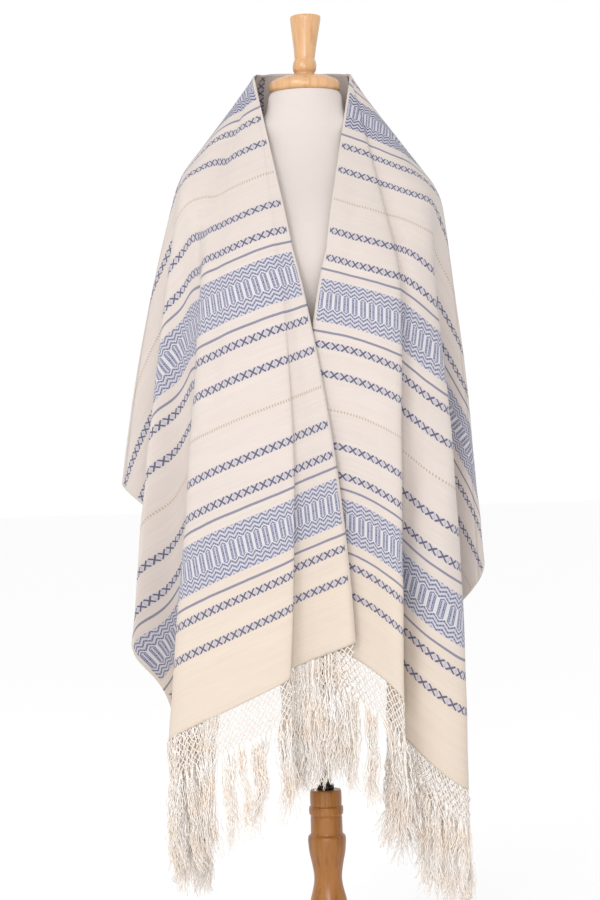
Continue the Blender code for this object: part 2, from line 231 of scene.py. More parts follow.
RIGHT_FOLDS = [
    Fold("edge", (75, 10, 1520), (23, -167, 1227), (-11, -148, 601), 90, -25),
    Fold("front", (75, 13, 1521), (69, -172, 1199), (56, -154, 576), 90),
    Fold("a_ridge", (75, 18, 1523), (138, -161, 1177), (129, -182, 511), 80),
    Fold("ab_valley", (75, 22, 1524), (144, -138, 1179), (96, -105, 487), 80),
    Fold("b_mid", (76, 26, 1525), (163, -128, 1216), (172, -150, 402), 60, 8),
    Fold("b_ridge", (76, 32, 1527), (186, -102, 1265), (230, -120, 363), 50, 17),
    Fold("c_corner", (76, 38, 1528), (203, -70, 1294), (126, 0, 469), 40),
    Fold("bc_valley", (74, 44, 1529), (211, -30, 1311), (175, 80, 583), 40),
    Fold("c_side", (71, 52, 1531), (219, 10, 1322), (267, 30, 684), 30, 7),
    Fold("back_1", (67, 60, 1532), (210, 50, 1334), (266, 110, 747), 50),
    Fold("back_valley_1", (60, 68, 1534), (173, 85, 1352), (181, 85, 798), 50),
    Fold("back_2", (52, 77, 1536), (137, 108, 1365), (179, 175, 825), 60),
    Fold("back_valley_2", (40, 85, 1538), (94, 124, 1376), (92, 125, 845), 60),
    Fold("back_3", (24, 92, 1539), (43, 133, 1387), (51, 190, 857), 60),
]

RIGHT_CUTS = [
    Cut(0.115, 0.462, 0.000, 1.153, 0.000),  # edge
    Cut(0.112, 0.478, 0.060, 1.153, 0.070),  # front
    Cut(0.107, 0.480, 0.130, 1.153, 0.165),  # a_ridge
    Cut(0.101, 0.480, 0.138, 1.153, 0.240),  # ab_valley
    Cut(0.095, 0.430, 0.165, 1.153, 0.330),  # b_mid
    Cut(0.086, 0.360, 0.190, 1.153, 0.410),  # b_ridge
    Cut(0.077, 0.320, 0.205, 1.153, 0.660),  # c_corner
    Cut(0.069, 0.290, 0.210, 0.930, 0.660),  # bc_valley
    Cut(0.059, 0.255, 0.205, 0.700, 0.660),  # c_side
    Cut(0.048, 0.208, 0.200, 0.594, 0.660),  # back_1
    Cut(0.036, 0.162, 0.190, 0.457, 0.660),  # back_valley_1
    Cut(0.024, 0.116, 0.182, 0.330, 0.660),  # back_2
    Cut(0.008, 0.069, 0.175, 0.209, 0.660),  # back_valley_2
    Cut(-0.011, 0.016, 0.168, 0.091, 0.660),  # back_3
]

# Soft creases, drawn in the flat cloth: where each starts and ends (on the right u is
# negative), and how far it rises, or sinks, and its width in millimetres
Crease = namedtuple("Crease", "from_u from_v to_u to_v rise width")

CREASES = [
    Crease(0.26, 0.08, 0.72, 0.19, -2.6, 17),
    Crease(0.36, 0.05, 0.98, 0.10, 2.0, 15),
    Crease(0.52, 0.13, 1.12, 0.33, -3.2, 20),
    Crease(0.56, 0.20, 1.14, 0.25, 2.6, 17),
    Crease(0.48, 0.03, 0.82, 0.03, -1.8, 9),
    Crease(0.24, 0.15, 0.62, 0.27, -3.0, 16),
    Crease(0.84, 0.035, 1.15, 0.045, -3.0, 9),
    Crease(0.90, 0.015, 1.15, 0.020, 1.8, 7),
    Crease(0.40, 0.24, 0.90, 0.45, 2.4, 18),
    Crease(0.35, 0.40, 0.70, 0.62, -2.4, 20),
    Crease(-0.30, 0.04, -0.80, 0.07, -2.2, 13),
    Crease(-0.40, 0.09, -1.12, 0.12, 2.4, 13),
    Crease(-0.58, 0.03, -1.12, 0.04, -2.0, 10),
    Crease(-0.48, 0.20, -1.02, 0.23, -3.0, 13),
    Crease(-0.52, 0.25, -1.12, 0.29, 2.8, 14),
    Crease(-0.30, 0.22, -0.62, 0.40, -2.6, 17),
    Crease(-0.36, 0.35, -0.70, 0.60, 2.4, 20),
    Crease(0.03, 0.24, 0.02, 0.62, -2.6, 18),
    Crease(0.14, 0.26, 0.18, 0.64, 2.4, 20),
    Crease(-0.12, 0.26, -0.17, 0.64, -2.4, 18),
    Crease(-0.24, 0.30, -0.32, 0.62, 2.2, 20),
]

LEFT_CORNER = "b_corner"
RIGHT_CORNER = "c_corner"
SIDE_FOLD = "c_side"

# One row for each level of the form: height, half width, front and back depth, squareness
Level = namedtuple("Level", "z half_width front back square")

TORSO_LEVELS = [
    Level(0.7600, 0.134, 0.094, 0.096, 2.3),
    Level(0.7640, 0.142, 0.100, 0.102, 2.3),
    Level(0.8400, 0.156, 0.112, 0.118, 2.3),
    Level(0.9200, 0.160, 0.114, 0.124, 2.3),
    Level(1.0000, 0.147, 0.108, 0.112, 2.3),
    Level(1.0800, 0.128, 0.121, 0.096, 2.2),
    Level(1.1400, 0.129, 0.144, 0.098, 2.2),
    Level(1.2000, 0.138, 0.150, 0.108, 2.2),
    Level(1.2450, 0.147, 0.138, 0.115, 2.2),
    Level(1.2900, 0.154, 0.115, 0.120, 2.2),
    Level(1.3300, 0.153, 0.090, 0.118, 2.2),
    Level(1.3700, 0.128, 0.071, 0.110, 2.1),
    Level(1.4050, 0.097, 0.058, 0.098, 2.0),
    Level(1.4350, 0.0851, 0.0560, 0.083, 2.0),
    Level(1.4600, 0.066, 0.053, 0.065, 2.0),
    Level(1.4924, 0.0590, 0.0580, 0.0600, 2.0),
]

# Turned outlines, one row for each ring: radius, height
NECK_CAP_OUTLINE = [
    (0.0535, NECK_CAP_BOTTOM),
    (0.0560, NECK_CAP_BOTTOM + 0.0018),
    (NECK_CAP_RADIUS, NECK_CAP_BOTTOM + 0.0046),
    (NECK_CAP_RADIUS, NECK_CAP_BOTTOM + 0.0130),
    (0.0560, NECK_CAP_BOTTOM + 0.0175),
    (0.0480, NECK_CAP_BOTTOM + 0.0222),
    (0.0350, NECK_CAP_BOTTOM + 0.0262),
    (0.0205, NECK_CAP_BOTTOM + 0.0290),
]

FINIAL_OUTLINE = [
    (0.0160, 1.5223),
    (0.0162, 1.5256),
    (0.0186, 1.5290),
    (0.0197, 1.5350),
    (0.0190, 1.5420),
    (0.0172, 1.5462),
    (0.0162, 1.5482),
    (0.0168, 1.5500),
    (0.0176, 1.5600),
    (0.0211, 1.5860),
    (0.0243, 1.6080),
    (0.0251, 1.6148),
    (0.0247, 1.6178),
    (0.0226, 1.6190),
    (0.0100, 1.6194),
]

POST_OUTLINE = [
    (0.0460, BASE_HEIGHT + SEAM_GAP),
    (0.0460, 0.0430),
    (0.0340, 0.0580),
    (0.0310, 0.0760),
    (0.0310, 0.1560),
    (0.0302, 0.1700),
    (0.0262, 0.1840),
    (0.0226, 0.2010),
    (0.0230, 0.2140),
    (0.0262, 0.2320),
    (0.0296, 0.2480),
    (0.0310, 0.2620),
    (0.0313, 0.2710),
    (0.0300, 0.2758),
    (0.0266, 0.2778),
    (0.0260, 0.2830),
    (0.0261, 0.3060),
    (0.0250, 0.3076),
    (0.0250, 0.3088),
    (0.0276, 0.3102),
    (0.0283, 0.3168),
    (0.0278, 0.3232),
    (0.0252, 0.3244),
    (0.0252, 0.3256),
    (0.0260, 0.3272),
    (0.0259, 0.3480),
    (0.0244, POST_TOP),
]

BASE_OUTLINE = [
    (BASE_RADIUS - 0.006, 0.0),
    (BASE_RADIUS, 0.006),
    (BASE_RADIUS, 0.018),
    (BASE_RADIUS - 0.008, 0.026),
    (BASE_RADIUS - 0.030, 0.0315),
    (BASE_RADIUS - 0.060, BASE_HEIGHT),
]


def bend_share(fold):
    """The share of a fold's length that lies above its bend."""
    over = math.dist(fold.neck, fold.bend)
    return over / (over + math.dist(fold.bend, fold.hem))


def fold_points(fold, shares):
    """Points down one fold, at these shares of its length."""
    neck, bend, hem = (MM * np.array(point) for point in (fold.neck, fold.bend, fold.hem))
    over = np.linalg.norm(bend - neck)
    down = np.linalg.norm(hem - bend)
    going_over = (bend - neck) / over
    going_down = (hem - bend) / down
    reach = min(MM * fold.round, 0.9 * over, 0.9 * down)
    points = []
    for travelled in shares * (over + down):
        into_turn = travelled - (over - reach)
        if into_turn <= 0.0:
            point = neck + going_over * travelled
        elif into_turn >= 2.0 * reach:
            point = bend + going_down * (travelled - over)
        else:
            turned = into_turn / (2.0 * reach)
            start = bend - going_over * reach
            end = bend + going_down * reach
            point = (1 - turned) ** 2 * start + 2 * turned * (1 - turned) * bend + turned**2 * end
        hung = min(max((travelled - over) / down, 0.0), 1.0)
        belly = np.array((MM * fold.bow * 4.0 * hung * (1.0 - hung), 0.0, 0.0))
        points.append(point + belly)
    return np.array(points)


def flat_points(fold, cut, shares):
    """The same points' places in the flat cloth."""
    stops = [0.0, bend_share(fold), 1.0]
    u = np.interp(shares, stops, [cut.neck_u, cut.bend_u, cut.hem_u])
    v = np.interp(shares, stops, [0.0, cut.bend_v, cut.hem_v])
    return np.stack([u, v], axis=1)


def placed_points(fold, cut, shares):
    """Points down a fold, with their places in the flat cloth beside them."""
    return np.concatenate([fold_points(fold, shares), flat_points(fold, cut, shares)], axis=1)


def placed_bend(fold, cut):
    return np.array((*(MM * np.array(fold.bend)), cut.bend_u, cut.bend_v))


def placed_hem(fold, cut):
    return np.array((*(MM * np.array(fold.hem)), cut.hem_u, cut.hem_v))


def lines_of(folds, cuts, shares):
    """Each fold's points in space and in the flat cloth, with a tucked fold behind its ridge."""
    named = {fold.name: (fold, cut) for fold, cut in zip(folds, cuts)}
    lines = []
    for fold, cut in zip(folds, cuts):
        line = placed_points(fold, cut, shares)
        if fold.tucked_behind:
            ridge, ridge_cut = named[fold.tucked_behind]
            apart_at_bend = placed_bend(fold, cut) - placed_bend(ridge, ridge_cut)
            apart_at_hem = placed_hem(fold, cut) - placed_hem(ridge, ridge_cut)
            parted = np.clip(shares / bend_share(ridge), 0.0, 1.0)[:, None]
            tucked = np.clip((shares - fold.tucked_from) / (1.0 - fold.tucked_from), 0.0, 1.0)
            tucked = (tucked**1.2)[:, None]
            line = placed_points(ridge, ridge_cut, shares)
            line = line + parted * (1.0 - tucked) * apart_at_bend + tucked * apart_at_hem
        lines.append(line)
    return np.array(lines)


def between_lines(lines, steps):
    """A smooth sheet through the lines, with this many steps from each to the next."""
    first = 2.0 * lines[0] - lines[1]
    last = 2.0 * lines[-1] - lines[-2]
    held = np.concatenate([[first], lines, [last]])
    sheet = []
    for before, here, after, beyond in zip(held, held[1:], held[2:], held[3:]):
        for step in range(steps):
            along = step / steps
            bent = 2.0 * before - 5.0 * here + 4.0 * after - beyond
            turned = 3.0 * here - before - 3.0 * after + beyond
            doubled = 2.0 * here + (after - before) * along + bent * along**2 + turned * along**3
            sheet.append(0.5 * doubled)
    sheet.append(lines[-1])
    return np.array(sheet)


def soften(sheet, passes):
    """Rounds the folds, keeping both edges of the sheet."""
    sheet = sheet.copy()
    for _ in range(passes):
        sheet[1:-1] = 0.25 * sheet[:-2] + 0.5 * sheet[1:-1] + 0.25 * sheet[2:]
    return sheet


def sheet_normals(sheet):
    """The cloth's outward direction at each of its points."""
    across = np.gradient(sheet, axis=0)
    down = np.gradient(sheet, axis=1)
    normals = np.cross(across, down)
    normals /= np.linalg.norm(normals, axis=2)[..., None]
    return normals


def shawl_sheet():
    """The whole cloth: points in space, and their places in the flat cloth."""
    shares = np.linspace(0.0, 1.0, ROWS_DOWN)
    left = lines_of(LEFT_FOLDS, LEFT_CUTS, shares)
    right = lines_of(RIGHT_FOLDS, RIGHT_CUTS, shares)
    right[..., 3] *= -1.0
    fine = soften(between_lines(np.concatenate([left, right[::-1]]), FINE_STEPS), SOFTENING_PASSES)
    return fine[..., :3], fine[..., 3:]


def ripple(flat):
    """Small unevenness of hanging cloth, in metres out from its surface."""
    u, v = flat[..., 0], flat[..., 1]
    wide = np.sin(41.0 * v + 5.0 * u + 1.0) * np.sin(7.0 * np.abs(u) + 1.3)
    fine = np.sin(88.0 * v - 13.0 * u + 0.7) * np.sin(17.0 * u + 4.0 * v)
    free = np.clip((np.abs(u) - RIPPLES_FROM) / RIPPLES_FULL_AFTER, 0.0, 1.0)
    return free * (WIDE_RIPPLE * wide + FINE_RIPPLE * fine)


def crease_height(flat):
    """The soft ridges and troughs of the table, in metres out from the cloth's surface."""
    height = np.zeros(flat.shape[:2])
    for crease in CREASES:
        start = np.array((crease.from_u, crease.from_v))
        run = np.array((crease.to_u, crease.to_v)) - start
        along = ((flat - start) @ run) / (run @ run)
        nearest = start + np.clip(along, 0.0, 1.0)[..., None] * run
        away = np.linalg.norm(flat - nearest, axis=-1) / (MM * crease.width)
        swell = np.clip(np.sin(math.pi * np.clip(along, 0.0, 1.0)), 0.0, 1.0) ** 0.7
        height += MM * crease.rise * swell * np.exp(-(away**2))
    return height


def mesh_piece(name, points, faces, material, uvs=None, smooth=True):
    mesh = bpy.data.meshes.new(name)
    mesh.from_pydata(points.tolist(), [], faces)
    if uvs is not None:
        layer = mesh.uv_layers.new(name="flat_cloth")
        index = np.empty(len(mesh.loops), np.int32)
        mesh.loops.foreach_get("vertex_index", index)
        layer.data.foreach_set("uv", uvs[index].astype(np.float32).ravel())
    mesh.materials.append(material)
    if smooth:
        mesh.shade_smooth()
    piece = bpy.data.objects.new(name, mesh)
    bpy.context.scene.collection.objects.link(piece)
    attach(piece, "root")
    return piece


def grid_faces(columns, rows, start=0, flipped=False):
    faces = []
    for c in range(columns - 1):
        for r in range(rows - 1):
            here = start + c * rows + r
            face = (here, here + rows, here + rows + 1, here + 1)
            faces.append(face[::-1] if flipped else face)
    return faces


def cloth_shell(name, sheet, normals, flat, first, last, material):
    """One stretch of the cloth as a thin closed shell."""
    middle = sheet[first : last + 1].copy()
    for end, inner in ((0, 1), (-1, -2)):
        if (end == 0 and first > 0) or (end == -1 and last < len(sheet) - 1):
            towards = middle[inner] - middle[end]
            length = np.linalg.norm(towards, axis=1)[:, None]
            middle[end] += towards * np.minimum(0.5 * SEAM_GAP / length, 0.4)
    normals = normals[first : last + 1]
    columns, rows = middle.shape[:2]
    outer = (middle + 0.5 * CLOTH_THICK * normals).reshape(-1, 3)
    inner = (middle - 0.5 * CLOTH_THICK * normals).reshape(-1, 3)
    count = columns * rows
    faces = grid_faces(columns, rows) + grid_faces(columns, rows, count, flipped=True)
    for c in range(columns - 1):
        top, bottom = c * rows, c * rows + rows - 1
        faces.append((top, top + count, top + rows + count, top + rows))
        faces.append((bottom, bottom + rows, bottom + rows + count, bottom + count))
    for r in range(rows - 1):
        left, right = r, (columns - 1) * rows + r
        faces.append((left, left + 1, left + 1 + count, left + count))
        faces.append((right, right + count, right + 1 + count, right + 1))
    uvs = np.tile(flat[first : last + 1].reshape(-1, 2), (2, 1))
    return mesh_piece(name, np.concatenate([outer, inner]), faces, material, uvs)


def along_edge(points, shares):
    """Places at these shares of an edge's length."""
    steps = np.linalg.norm(np.diff(points, axis=0), axis=1)
    travelled = np.concatenate([[0.0], np.cumsum(steps)])
    wanted = shares * travelled[-1]
    return np.stack([np.interp(wanted, travelled, points[:, axis]) for axis in range(3)], axis=1)


class Tubes:
    """Collects many thin yarns into one mesh."""

    def __init__(self, sides):
        self.sides = sides
        self.points = []
        self.faces = []

    def add(self, path, radii):
        along = np.gradient(path, axis=0)
        along /= np.linalg.norm(along, axis=1)[:, None] + 1e-12
        aside = np.cross(along, np.array((0.0, 1.0, 0.0)))
        aside /= np.linalg.norm(aside, axis=1)[:, None] + 1e-12
        third = np.cross(along, aside)
        start = len(self.points)
        for here, one, two, radius in zip(path, aside, third, radii):
            for side in range(self.sides):
                turn = 2.0 * math.pi * side / self.sides
                self.points.append(here + radius * (one * math.cos(turn) + two * math.sin(turn)))
        for ring in range(len(path) - 1):
            for side in range(self.sides):
                here = start + ring * self.sides + side
                after = start + ring * self.sides + (side + 1) % self.sides
                self.faces.append((here, here + self.sides, after + self.sides, after))
        last = start + (len(path) - 1) * self.sides
        self.faces.append(tuple(start + side for side in range(self.sides)))
        self.faces.append(tuple(last + side for side in reversed(range(self.sides))))

    def piece(self, name, material):
        return mesh_piece(name, np.array(self.points), self.faces, material)


def net_knots(edge, rng):
    """The knots of the net: a row of places under the hem for each row of the net."""
    length = np.linalg.norm(np.diff(edge, axis=0), axis=1).sum()
    across = int(length / NET_PITCH)
    rows = []
    for row in range(NET_ROWS + 1):
        half = 0.5 * (row % 2)
        shares = (np.arange(across - (row % 2)) + 0.5 + half) / across
        places = along_edge(edge, shares)
        places[:, 2] -= HEM_GAP + NET_DROP * row / NET_ROWS
        if row > 0:
            places += rng.normal(0.0, NET_UNEVEN, places.shape)
        rows.append(places)
    return rows


def make_net(name, rows, rng, material):
    """Yarns from each knot to the two below it, and a short swelling for each knot."""
    net = Tubes(NET_SIDES)
    for row in range(NET_ROWS):
        upper, lower = rows[row], rows[row + 1]
        for number, knot in enumerate(upper):
            for step in ((0, 1) if len(upper) < len(lower) else (-1, 0)):
                other = number + step
                if not 0 <= other < len(lower):
                    continue
                share = np.linspace(0.0, 1.0, 4)[:, None]
                path = knot * (1.0 - share) + lower[other] * share
                path[1:-1] += rng.normal(0.0, NET_WAVER, (2, 3))
                net.add(path, np.full(4, NET_YARN * rng.uniform(0.9, 1.3)))
    for places in rows[1:]:
        for place in places:
            height = KNOT_SIZE * rng.uniform(1.0, 1.6)
            path = place + np.array([(0.0, 0.0, height * lift) for lift in (1.0, 0.4, -0.4, -1.0)])
            swell = np.array([0.35, 1.0, 1.0, 0.35]) * KNOT_SIZE * rng.uniform(0.8, 1.1)
            net.add(path, swell)
    return net.piece(name, material)


Lock = namedtuple("Lock", "drop lean sway turn bends pinch pull")


def drawn_lock(rng):
    """How one lock of yarns hangs, drawn at random within the bounds above."""
    return Lock(
        drop=YARN_DROP * rng.uniform(*LOCK_DROP),
        lean=np.array((rng.normal(0.0, LOCK_LEAN_X), rng.normal(0.0, LOCK_LEAN_Y), 0.0)),
        sway=rng.uniform(*LOCK_SWAY),
        turn=rng.uniform(*ANY_TURN),
        bends=rng.uniform(*SWAY_BENDS),
        pinch=rng.uniform(*LOCK_PINCH),
        pull=LOCK_PULL,
    )


def hanging_yarn(knot, middle, lock, raised, rng):
    """One free yarn from its knot, or from the hem where it is raised, and its radius."""
    share = np.linspace(0.0, 1.0, YARN_POINTS)
    own = rng.normal(0.0, 1.0, 3) * np.array(STRAND_SPREAD)
    tip = rng.normal(0.0, 1.0, 3) * np.array(TIP_SPREAD)
    pinched = np.sin(0.5 * math.pi * np.clip(share / lock.pinch, 0.0, 1.0))
    gathered = (pinched * lock.pull)[:, None]
    path = knot * (1.0 - gathered) + middle * gathered
    path[:, 2] = knot[2] + raised - (lock.drop + raised) * rng.uniform(*STRAND_DROP) * share
    path[:, 1] += BEHIND_NET * raised
    path += own * (1.0 if raised else np.clip(share / 0.2, 0.0, 1.0)[:, None])
    path += tip * np.clip((share - TIPS_FROM) / (1.0 - TIPS_FROM), 0.0, 1.0)[:, None] ** 1.5
    path += lock.lean * (share**1.3)[:, None]
    path[:, 0] += lock.sway * np.sin(lock.bends * share + lock.turn) * share
    crimp = rng.uniform(*CRIMP) * np.clip(share / 0.15, 0.0, 1.0)
    for axis in (0, 1):
        path[:, axis] += crimp * np.sin(rng.uniform(*CRIMP_BENDS) * share + rng.uniform(*ANY_TURN))
    path[:, 1] = knot[1] + YARN_REACH * np.tanh((path[:, 1] - knot[1]) / YARN_REACH)
    radius = YARN_RADIUS * rng.uniform(*YARN_THICKNESS)
    return path, radius * (1.0 - YARN_TAPER * share**3)


def make_yarns(name, knots, curtain, lined, rng, material):
    """Free yarns under the net: loosely gathered into wavy locks, with parted, curling tips.

    At the knots that curtain numbers they hang evenly and closer. There, and at those that
    lined numbers, every second yarn hangs from the hem itself, behind the net.
    """
    yarns = Tubes(YARN_SIDES)
    number = 0
    while number < len(knots):
        even = number in curtain
        doubled = even or number in lined
        size = 1 if even else int(rng.integers(*LOCK_KNOTS))
        together = knots[number : number + size]
        number += size
        lock = drawn_lock(rng)
        if even:
            drop = YARN_DROP * rng.uniform(*CURTAIN_DROP)
            lock = lock._replace(drop=drop, lean=lock.lean * CURTAIN_LEAN, pull=0.0)
        count = YARNS_EACH_KNOT * (CURTAIN_YARNS if even else LINED_YARNS if doubled else 1)
        middle = together.mean(axis=0)
        for knot in together:
            for strand in range(count):
                raised = NET_DROP if doubled and strand % 2 else 0.0
                yarns.add(*hanging_yarn(knot, middle, lock, raised, rng))
    return yarns.piece(name, material)


def turned_points(outline, steps):
    """A turned outline with its corners rounded: radius and height."""
    points = np.array(outline)
    for _ in range(steps):
        cut = [points[0]]
        for here, after in zip(points, points[1:]):
            cut.append(0.75 * here + 0.25 * after)
            cut.append(0.25 * here + 0.75 * after)
        cut.append(points[-1])
        points = np.array(cut)
    return points


def turned_piece(name, outline, material, lean=0.0, roundings=2):
    points = turned_points(outline, roundings)
    foot = points[0][1]
    turn = 2.0 * math.pi * np.arange(TURNED_SIDES) / TURNED_SIDES
    rings = []
    for radius, height in points:
        x = lean * (height - foot) + radius * np.cos(turn)
        rings.append(np.stack([x, radius * np.sin(turn), np.full(TURNED_SIDES, height)], axis=1))
    return ringed_piece(name, rings, material)


def ringed_piece(name, rings, material):
    sides = len(rings[0])
    faces = []
    for ring in range(len(rings) - 1):
        for side in range(sides):
            here = ring * sides + side
            after = ring * sides + (side + 1) % sides
            faces.append((here, after, after + sides, here + sides))
    top = (len(rings) - 1) * sides
    points = np.concatenate(rings)
    foot_middle, top_middle = len(points), len(points) + 1
    points = np.concatenate([points, [rings[0].mean(axis=0)], [rings[-1].mean(axis=0)]])
    for side in range(sides):
        after = (side + 1) % sides
        faces.append((after, side, foot_middle))
        faces.append((top + side, top + after, top_middle))
    piece = mesh_piece(name, points, faces, material)
    piece.data.set_sharp_from_angle(angle=math.radians(45))
    return piece


def torso_piece(material):
    """The padded body, with its covering pulled in a little along the seams."""
    table = np.array(TORSO_LEVELS)
    rising = np.linspace(TORSO_HEIGHTS_FROM, TORSO_TOP, TORSO_HEIGHTS)
    heights = np.concatenate([TORSO_FOOT_HEIGHTS, rising])
    smooth = between_lines(table, 10)
    columns = [np.interp(heights, smooth[:, 0], smooth[:, axis]) for axis in range(1, 5)]
    turn = 2.0 * math.pi * np.arange(TORSO_SIDES) / TORSO_SIDES
    rings = []
    for z, half_width, front, back, square in zip(heights, *columns):
        across = np.sign(np.cos(turn)) * np.abs(np.cos(turn)) ** (2.0 / square)
        deep = np.sign(np.sin(turn)) * np.abs(np.sin(turn)) ** (2.0 / square)
        depth = np.where(deep > 0.0, back, front)
        rim = RIM_ROUND * np.clip((z - RIM_FROM) / RIM_DEPTH, 0.0, 1.0) ** 2
        x = (half_width - rim) * across
        y = (depth - rim) * deep
        pull = seam_pull(turn, z)
        shrink = 1.0 - pull / np.hypot(x, y)
        rings.append(np.stack([x * shrink, y * shrink, np.full_like(x, z)], axis=1))
    return ringed_piece("form_body", rings, material)


def seam_pull(turn, z):
    """Depth of the stitched seams: down each side, each back panel and the centre back."""
    depth = np.zeros_like(turn)
    back = 0.5 * math.pi
    for at in (0.0, math.pi, back, back - BACK_PANEL_SEAM, back + BACK_PANEL_SEAM):
        away = np.angle(np.exp(1j * (turn - at)))
        depth += SEAM_DEPTH * np.exp(-((away / SEAM_HALF) ** 2))
    return depth * np.clip((SEAMS_END - z) / SEAMS_FADE, 0.0, 1.0)


class Nodes:
    """Short ways to write a material's nodes."""

    def __init__(self, name):
        self.material = bpy.data.materials.new(name)
        self.material.use_nodes = True
        self.tree = self.material.node_tree
        self.shader = self.tree.nodes["Principled BSDF"]

    def add(self, kind, **settings):
        node = self.tree.nodes.new(kind)
        for key, value in settings.items():
            setattr(node, key, value)
        return node

    def put(self, socket, value):
        if isinstance(value, bpy.types.NodeSocket):
            self.tree.links.new(value, socket)
        else:
            socket.default_value = value

    def math(self, operation, first, second=0.0, third=0.0):
        node = self.add("ShaderNodeMath", operation=operation)
        for socket, value in zip(node.inputs, (first, second, third)):
            self.put(socket, value)
        return node.outputs[0]

    def mix(self, factor, first, second):
        node = self.add("ShaderNodeMix", data_type="RGBA")
        self.put(node.inputs[0], factor)
        self.put(node.inputs[6], first)
        self.put(node.inputs[7], second)
        return node.outputs[2]

    def noise(self, vector, scale, detail=2.0, roughness=0.5):
        node = self.add("ShaderNodeTexNoise")
        self.put(node.inputs["Vector"], vector)
        node.inputs["Scale"].default_value = scale
        node.inputs["Detail"].default_value = detail
        node.inputs["Roughness"].default_value = roughness
        return node.outputs["Fac"]

    def stretch(self, vector, scale):
        node = self.add("ShaderNodeMapping")
        self.put(node.inputs["Vector"], vector)
        node.inputs["Scale"].default_value = scale
        return node.outputs[0]

    def spread(self, value, low, high, to_low=0.0, to_high=1.0):
        node = self.add("ShaderNodeMapRange")
        self.put(node.inputs[0], value)
        for socket, number in zip(node.inputs[1:5], (low, high, to_low, to_high)):
            socket.default_value = number
        return node.outputs[0]

    def place(self):
        return self.add("ShaderNodeNewGeometry").outputs["Position"]

    def bump(self, height, strength, distance):
        node = self.add("ShaderNodeBump")
        node.inputs["Strength"].default_value = strength
        node.inputs["Distance"].default_value = distance
        self.put(node.inputs["Height"], height)
        self.tree.links.new(node.outputs[0], self.shader.inputs["Normal"])

    def both(self, first, second):
        return self.math("MULTIPLY", first, second)

    def away(self, value, place):
        return self.math("ABSOLUTE", self.math("SUBTRACT", value, place))

    def repeated(self, value, step):
        return self.math("FRACT", self.math("DIVIDE", value, step))

    def below(self, value, limit):
        return self.math("LESS_THAN", value, limit)

    def above(self, value, limit):
        return self.math("GREATER_THAN", value, limit)


CREAM = (0.545, 0.482, 0.447, 1.0)
# painted warm light: the cream that the ground turns to towards the cloth's ends, as if lit through the
# thin cloth
PAINTED_WARM_LIGHT_CREAM = (0.590, 0.495, 0.405, 1.0)
SHADED_THREAD = (0.430, 0.370, 0.325, 1.0)
BRIGHT_THREAD = (0.655, 0.590, 0.540, 1.0)
BAND_GROUND = (0.525, 0.505, 0.530, 1.0)
SLATE = (0.122, 0.128, 0.200, 1.0)
NAVY = (0.050, 0.052, 0.112, 1.0)
LAVENDER = (0.345, 0.345, 0.425, 1.0)
PALE_CORE = (0.420, 0.415, 0.490, 1.0)
LINE_BLUE = (0.185, 0.180, 0.240, 1.0)
EYELET_TAN = (0.380, 0.290, 0.200, 1.0)
LINEN = (0.575, 0.515, 0.485, 1.0)
LINEN_SHADED = (0.550, 0.490, 0.460, 1.0)
LINEN_THREAD = (0.440, 0.390, 0.345, 1.0)
YARN_TWIST = (0.640, 0.560, 0.470, 1.0)
# painted light: the free yarns are paler than the knotted yarns of the same cotton, for light through the
# thin free yarns
PAINTED_LIGHT_FREE_YARN = (0.940, 0.900, 0.870, 1.0)
PAINTED_LIGHT_FREE_YARN_WARM = (0.910, 0.790, 0.680, 1.0)
KNOTTED_YARN = (0.800, 0.745, 0.705, 1.0)
KNOTTED_YARN_WARM = (0.765, 0.680, 0.605, 1.0)
PALE_WOOD = (0.620, 0.370, 0.185, 1.0)
PALE_WOOD_DARK = (0.540, 0.300, 0.138, 1.0)
PALE_WOOD_STREAK = (0.400, 0.200, 0.080, 1.0)
POST_WOOD = (0.370, 0.142, 0.018, 1.0)
POST_WOOD_DARK = (0.255, 0.086, 0.010, 1.0)
POST_WOOD_STREAK = (0.105, 0.032, 0.005, 1.0)
STEEL = (0.020, 0.019, 0.018, 1.0)
STEEL_WORN = (0.060, 0.055, 0.050, 1.0)
FLOOR_WHITE = (0.970, 0.970, 0.970, 1.0)


def plain_weave(n, flat, from_middle_back, slub):
    """The ground's colour: warmer near the ends as painted warm light through the cloth, with paler and
    darker threads and bars.
    """
    thread = n.noise(n.stretch(flat, (700.0, 40.0, 1.0)), 1.0, 2.0)
    bar = n.noise(n.stretch(flat, (46.0, 3.0, 1.0)), 1.0, 2.0)
    # painted warm light: the ground turns warmer towards the cloth's ends
    ground = n.mix(n.spread(from_middle_back, 0.86, 1.06), CREAM, PAINTED_WARM_LIGHT_CREAM)
    ground = n.mix(n.spread(bar, 0.35, 0.7, 0.0, 0.18), ground, BRIGHT_THREAD)
    ground = n.mix(n.spread(slub, 0.35, 0.75, 0.0, 0.22), ground, SHADED_THREAD)
    return n.mix(n.spread(thread, 0.3, 0.7, 0.0, 0.14), ground, BRIGHT_THREAD)


